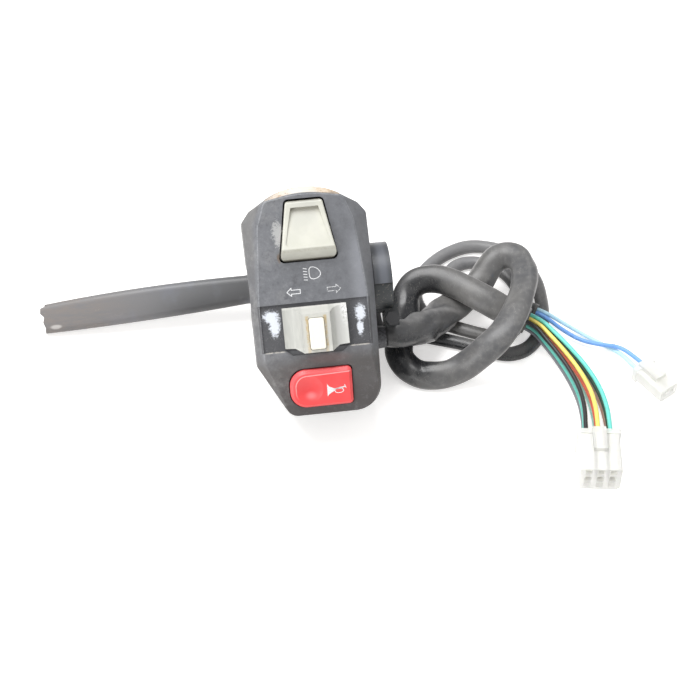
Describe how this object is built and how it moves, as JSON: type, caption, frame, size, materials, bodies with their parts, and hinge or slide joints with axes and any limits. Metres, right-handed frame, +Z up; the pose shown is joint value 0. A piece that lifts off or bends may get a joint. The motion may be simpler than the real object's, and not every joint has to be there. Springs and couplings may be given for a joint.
{
  "type": "handlebar switch cluster",
  "caption": "Left handlebar switch cluster with dip rocker, indicator slider, horn button, brake lever and a knotted loom ending in two connectors.",
  "frame": {"origin": "on the handlebar's axis, in the middle of the switch housing's width", "axes": "+X along the handlebar towards the stem, +Z up, -Y towards the rider; the switch face leans back 48 degrees from upright, as the part lies on a table"},
  "size_m": [0.2875, 0.1529, 0.0923],
  "materials": {
    "black_plastic": "worn matte black",
    "zinc_steel": "zinc plated",
    "label_film": "faded printed film",
    "ivory_plastic": "semi-gloss ivory",
    "switch_plastic": "moulded inner plastic",
    "contact_brass": "dull",
    "grey_plastic": "worn semi-gloss grey",
    "cream_plastic": "semi-gloss cream",
    "red_plastic": "semi-gloss red",
    "cast_aluminium": "dull cast, painted dark",
    "black_lever": "satin black, worn",
    "black_rubber": "matte",
    "sleeve_vinyl": "satin flexible vinyl",
    "clear_nylon": "milky translucent nylon",
    "insulation_teal": "satin insulation",
    "insulation_yellow": "satin insulation",
    "insulation_black": "satin insulation",
    "insulation_dark_green": "satin insulation",
    "insulation_red": "satin insulation",
    "insulation_grey": "satin insulation",
    "insulation_brown": "satin insulation",
    "insulation_pale_green": "satin insulation",
    "insulation_green": "satin insulation",
    "insulation_light_blue": "satin insulation",
    "insulation_blue": "satin insulation"
  },
  "bodies": {
    "housing": {"front_shell": "black_plastic", "rear_shell": "black_plastic", "housing_screws": "zinc_steel", "top_label": "label_film", "rocker_pin": "zinc_steel", "dip_switch_base": "switch_plastic", "dip_contacts": "contact_brass", "indicator_base": "switch_plastic", "indicator_contacts": "contact_brass", "horn_base": "switch_plastic", "horn_spring": "zinc_steel", "horn_contacts": "contact_brass", "lever_bracket": "cast_aluminium", "pinch_bolt": "zinc_steel", "bracket_screws": "zinc_steel", "pivot_bolt": "zinc_steel", "pivot_nut": "zinc_steel", "brake_light_switch": "switch_plastic", "brake_switch_screw": "zinc_steel", "cable_grommet": "black_rubber", "loom_sleeve": "sleeve_vinyl", "brake_light_lead": "sleeve_vinyl", "connector_nine_way": "clear_nylon", "connector_two_way": "clear_nylon", "terminals_nine_way": "contact_brass", "terminals_two_way": "contact_brass", "wire_teal": "insulation_teal", "wire_yellow": "insulation_yellow", "wire_black": "insulation_black", "wire_dark_green": "insulation_dark_green", "wire_red": "insulation_red", "wire_grey": "insulation_grey", "wire_brown": "insulation_brown", "wire_pale_green": "insulation_pale_green", "wire_green": "insulation_green", "wire_light_blue": "insulation_light_blue", "wire_blue": "insulation_blue"},
    "dip_rocker": {"dip_rocker": "ivory_plastic", "detent_spring": "zinc_steel", "detent_pin": "switch_plastic"},
    "indicator": {"indicator_knob": "grey_plastic", "indicator_slider": "switch_plastic", "indicator_wiper": "contact_brass", "cancel_spring": "zinc_steel"},
    "cancel_button": {"cancel_button": "cream_plastic"},
    "horn_button": {"horn_button": "red_plastic"},
    "brake_lever": {"brake_lever": "black_lever", "lever_bush": "contact_brass"},
    "switch_plunger": {"switch_plunger": "cream_plastic"}
  },
  "joints": [
    {"name": "dip_rocker_hinge", "type": "hinge", "parent": "housing", "child": "dip_rocker", "pos_m": [0, 0.00462, 0.02999], "axis": [1, 0, 0], "range_deg": [0, 20]},
    {"name": "indicator_slide", "type": "slide", "parent": "housing", "child": "indicator", "axis": [1, 0, 0], "range_m": [-0.0045, 0.0045], "stiffness_N_per_m": 300},
    {"name": "cancel_press", "type": "slide", "parent": "indicator", "child": "cancel_button", "axis": [0, 0.6691, -0.7431], "range_m": [0, 0.002], "stiffness_N_per_m": 400, "springref_m": -0.001, "deforming": ["cancel_spring"]},
    {"name": "horn_press", "type": "slide", "parent": "housing", "child": "horn_button", "axis": [0, 0.8603, -0.5098], "range_m": [0, 0.0022], "stiffness_N_per_m": 500, "springref_m": -0.002, "deforming": ["horn_spring"]},
    {"name": "lever_hinge", "type": "hinge", "parent": "housing", "child": "brake_lever", "pos_m": [0.023, 0.02543, -0.02824], "axis": [0, 0.7431, 0.6691], "range_deg": [0, 13]},
    {"name": "plunger_slide", "type": "slide", "parent": "housing", "child": "switch_plunger", "axis": [0, 0.6691, -0.7431], "range_m": [0, 0.0014]}
  ],
  "couplings": [
    {"joint": "plunger_slide", "follows": "lever_hinge", "m_per_rad": 0.0058}
  ]
}
